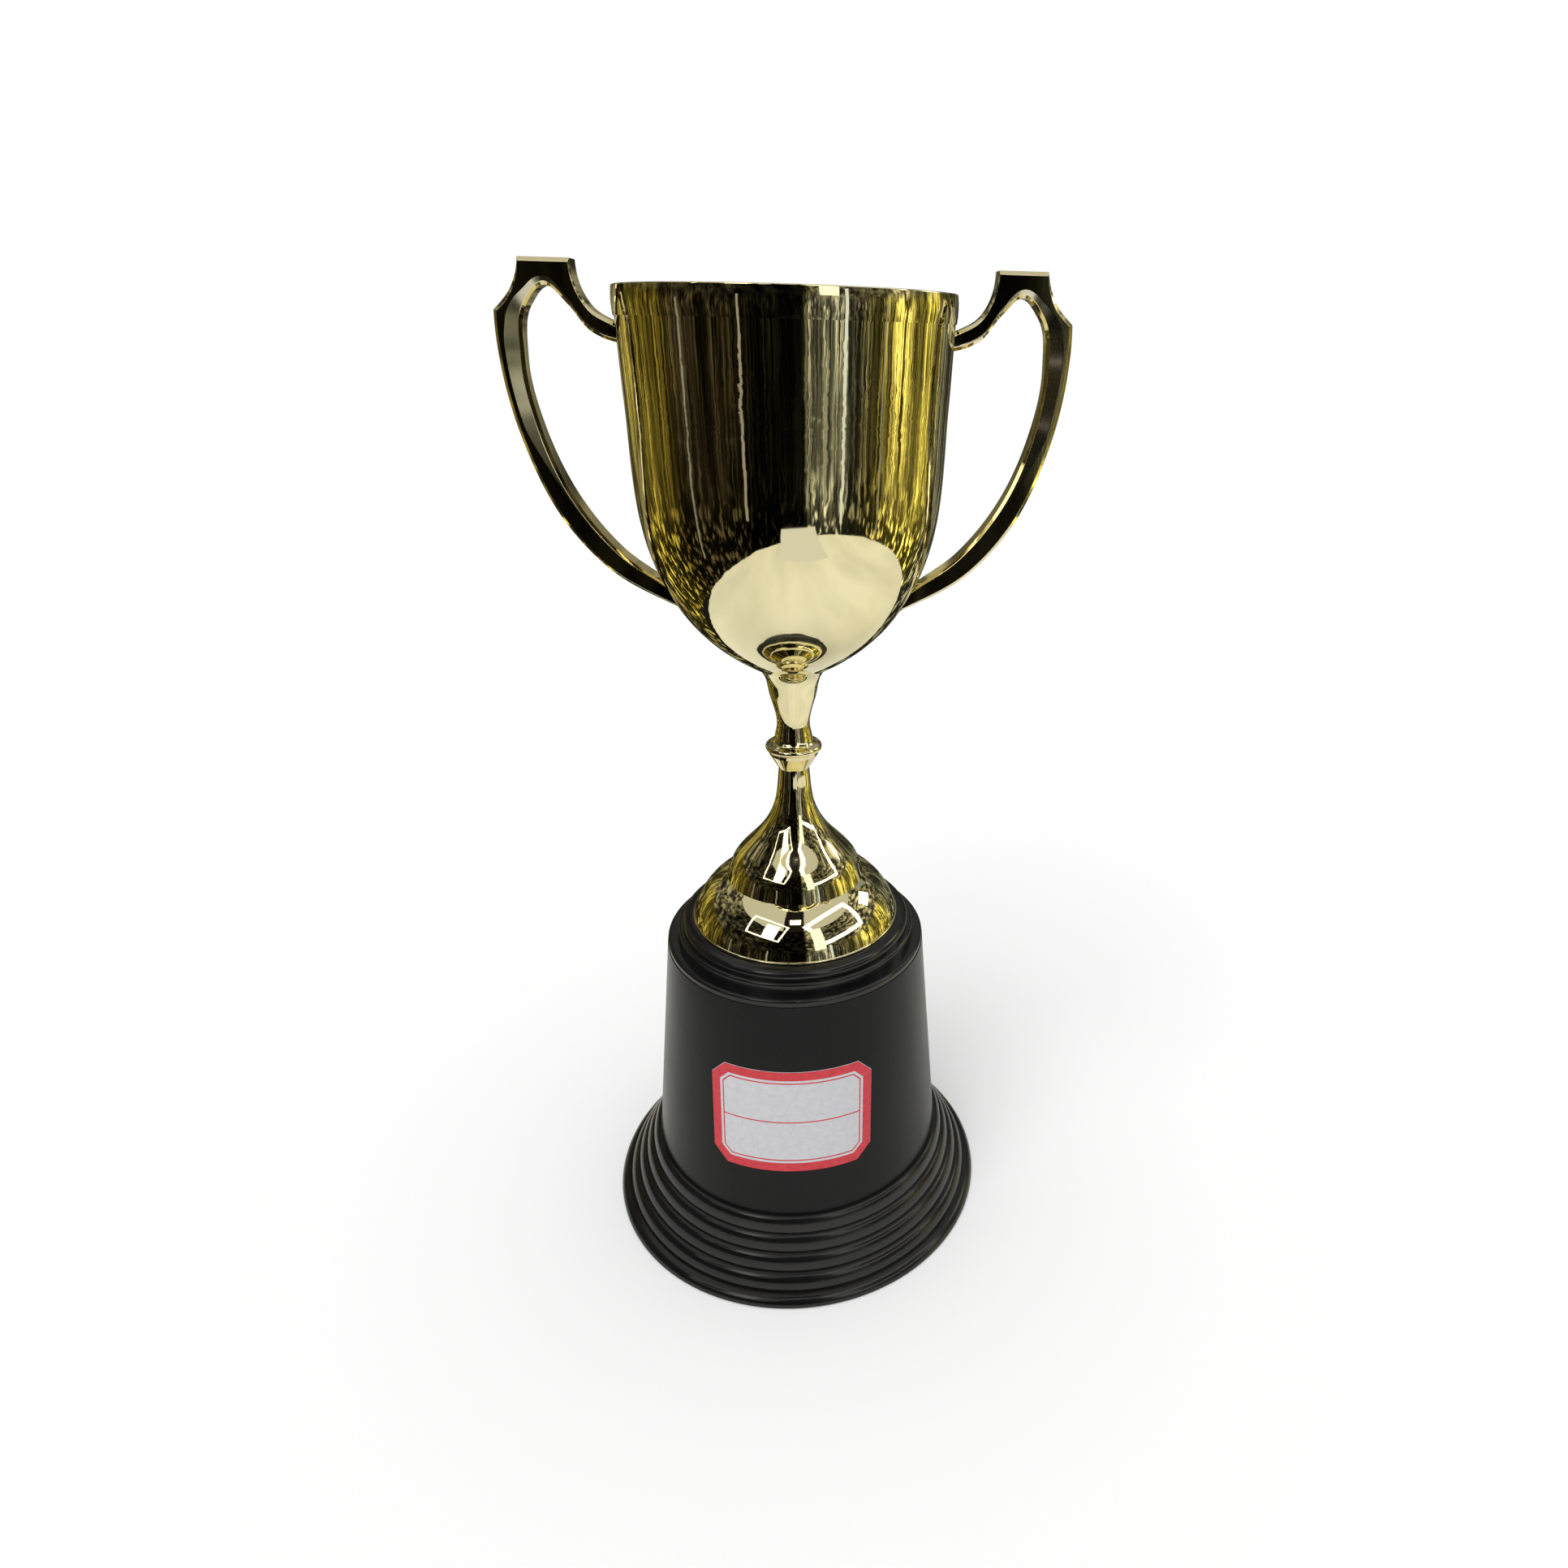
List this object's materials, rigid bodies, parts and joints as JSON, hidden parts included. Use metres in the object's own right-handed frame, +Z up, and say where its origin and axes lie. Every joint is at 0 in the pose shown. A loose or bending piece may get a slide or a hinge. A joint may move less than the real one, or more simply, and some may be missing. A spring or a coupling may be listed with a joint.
{
  "type": "cup trophy",
  "caption": "Two-handled award cup on a slim stem and domed foot, bolted to a tapered black plinth with a stepped skirt, a ringed top and a blank label.",
  "frame": {"origin": "centre of the underside, on the axis of revolution, where the trophy stands on a table", "axes": "+Z up the stem to the rim; X through the two handles; -Y is the front, where the label is"},
  "size_m": [0.1484, 0.1278, 0.297],
  "materials": {
    "cup_gold": "mirror plated pale gold",
    "handle_gold": "mirror plated pale gold, cast",
    "plinth_black": "satin moulded black",
    "label_paper": "matt paper with a printed red border",
    "felt": "black needled felt",
    "board": "pressed hardboard",
    "steel": "bright zinc plate",
    "iron": "rough cast"
  },
  "bodies": {
    "root": {"bowl": "cup_gold", "stem": "cup_gold", "knop": "cup_gold", "foot": "cup_gold", "handle_left": "handle_gold", "handle_right": "handle_gold", "plinth_cap": "plinth_black", "plinth_drum": "plinth_black", "plinth_skirt": "plinth_black", "label": "label_paper", "felt_pad": "felt", "base_board": "board", "ballast": "iron", "tie_rod": "steel", "bowl_washer": "steel", "bowl_nut": "steel", "clamp_washer": "steel", "lock_washer": "steel", "base_nut": "steel", "handle_washers": "steel", "handle_nuts": "steel"}
  },
  "joints": []
}
